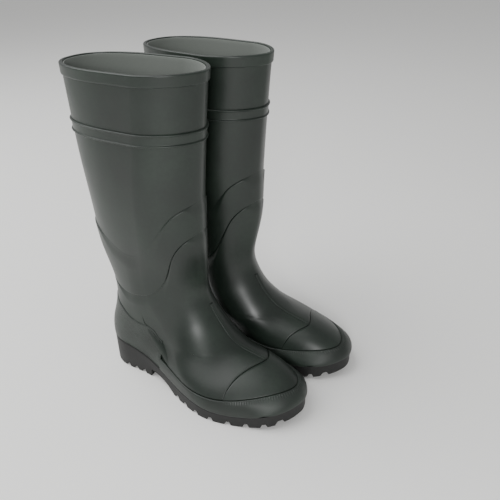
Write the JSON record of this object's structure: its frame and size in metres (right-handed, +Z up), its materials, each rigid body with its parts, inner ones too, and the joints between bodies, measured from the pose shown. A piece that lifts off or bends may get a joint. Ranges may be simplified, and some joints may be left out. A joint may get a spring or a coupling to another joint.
{
  "type": "rubber rain boot",
  "caption": "Knee-high rubber rain boots standing as a pair, with banded rim and calf, layered ankle and vamp panels, toe cap, knurled foxing and a lugged, heeled sole.",
  "frame": {"origin": "centre of the pair's bounding box, at the ground", "axes": "+Z up along the legs, toes towards -Y, right boot at -X and left boot at +X"},
  "size_m": [0.236, 0.3222, 0.4023],
  "materials": {
    "green_rubber": "satin dark grey-green moulded rubber",
    "band_rubber": "satin, a shade lighter than the shell",
    "foxing_rubber": "satin, finely stippled round the toe",
    "black_rubber": "matt black tread rubber",
    "lining_knit": "pale grey knitted lining",
    "insole_board": "matt cellulose board, hidden",
    "footbed_foam": "matt fabric-topped foam footbed",
    "filler_foam": "light foam rubber, hidden",
    "shank_steel": "plain strip steel, hidden"
  },
  "bodies": {
    "right_boot": {"right_leg_shell": "green_rubber", "right_foot_shell": "green_rubber", "right_lining": "lining_knit", "right_collar_band": "band_rubber", "right_calf_band": "band_rubber", "right_ankle_panel": "green_rubber", "right_vamp_panel": "green_rubber", "right_heel_counter": "foxing_rubber", "right_toe_cap": "green_rubber", "right_front_strip": "band_rubber", "right_foxing": "foxing_rubber", "right_insole_board": "insole_board", "right_footbed": "footbed_foam", "right_outsole": "black_rubber", "right_sole_filler": "filler_foam", "right_shank": "shank_steel"},
    "left_boot": {"left_leg_shell": "green_rubber", "left_foot_shell": "green_rubber", "left_lining": "lining_knit", "left_collar_band": "band_rubber", "left_calf_band": "band_rubber", "left_ankle_panel": "green_rubber", "left_vamp_panel": "green_rubber", "left_heel_counter": "foxing_rubber", "left_toe_cap": "green_rubber", "left_front_strip": "band_rubber", "left_foxing": "foxing_rubber", "left_insole_board": "insole_board", "left_footbed": "footbed_foam", "left_outsole": "black_rubber", "left_sole_filler": "filler_foam", "left_shank": "shank_steel"}
  },
  "joints": [
    {"name": "left_boot_lift", "type": "slide", "parent": "right_boot", "child": "left_boot", "axis": [0, 0, 1], "range_m": [0, 0.45]}
  ]
}
